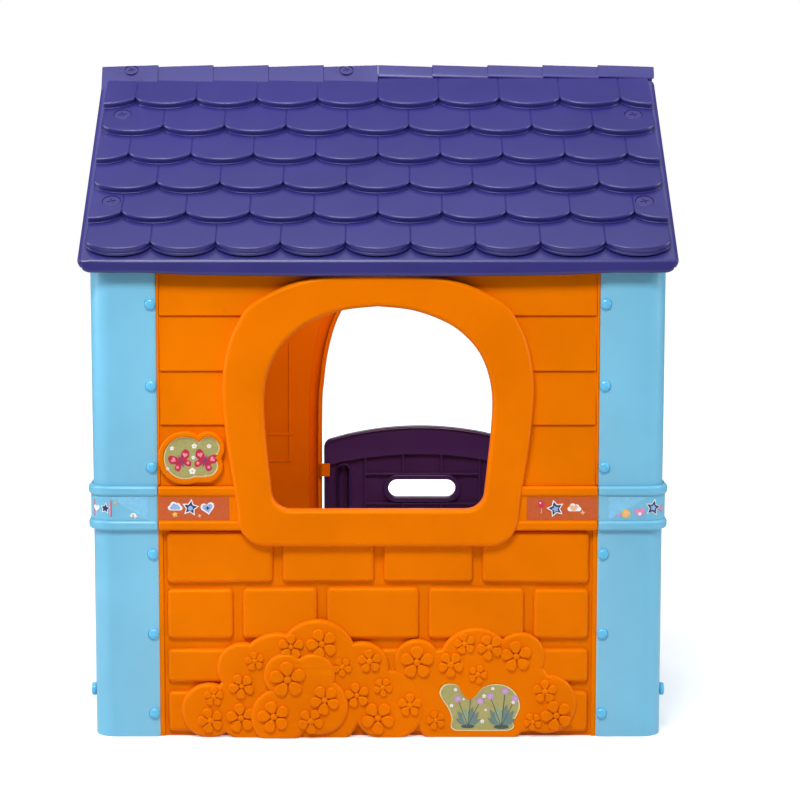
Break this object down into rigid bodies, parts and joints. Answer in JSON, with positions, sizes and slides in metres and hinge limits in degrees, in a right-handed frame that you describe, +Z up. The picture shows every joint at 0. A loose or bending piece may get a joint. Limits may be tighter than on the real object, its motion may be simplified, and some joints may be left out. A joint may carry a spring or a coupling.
{
  "type": "plastic playhouse",
  "caption": "Child's outdoor plastic playhouse with a window wall, a doorway with a swinging half door, gable walls and a tiled ridge roof.",
  "frame": {"origin": "on the ground, under the middle of the roof's outline", "axes": "+X along the ridge to the right as seen from the window wall, +Y towards the door wall, +Z up; the window wall faces -Y"},
  "size_m": [1.085, 0.85, 1.2466],
  "materials": {
    "orange_plastic": "satin moulded plastic with a fine grain",
    "blue_plastic": "satin moulded plastic with a fine grain",
    "purple_plastic": "satin moulded plastic with a fine grain",
    "door_plastic": "satin moulded plastic",
    "pin_plastic": "satin",
    "rivet_plastic": "semi-gloss",
    "screw_plastic": "semi-gloss",
    "orange_film": "printed vinyl film",
    "blue_film": "printed vinyl film",
    "khaki_film": "printed vinyl film"
  },
  "bodies": {
    "house": {"window_wall": "orange_plastic", "door_wall": "orange_plastic", "gable_wall_right": "blue_plastic", "gable_wall_left": "blue_plastic", "pediment_right": "blue_plastic", "pediment_left": "blue_plastic", "roof_panel_front": "purple_plastic", "roof_panel_back": "purple_plastic", "hinge_pin_upper": "pin_plastic", "hinge_pin_lower": "pin_plastic", "rivets_front_left": "rivet_plastic", "rivets_front_right": "rivet_plastic", "rivets_back_left": "rivet_plastic", "rivets_back_right": "rivet_plastic", "roof_screws_front": "screw_plastic", "roof_screws_back": "screw_plastic", "ridge_screws_front": "screw_plastic", "ridge_screws_back": "screw_plastic", "pediment_screws_right": "rivet_plastic", "pediment_screws_left": "rivet_plastic", "side_plug_right": "rivet_plastic", "side_plug_left": "rivet_plastic", "belt_print_left": "orange_film", "belt_print_right": "orange_film", "corner_print_right": "blue_film", "corner_print_left": "blue_film", "emblem_print": "khaki_film", "garden_print": "khaki_film"},
    "door": {"half_door": "door_plastic"}
  },
  "joints": [
    {"name": "door_hinge", "type": "hinge", "parent": "house", "child": "door", "pos_m": [0.298, 0.395, 0.25], "axis": [0, 0, -1], "range_deg": [0, 100]}
  ]
}
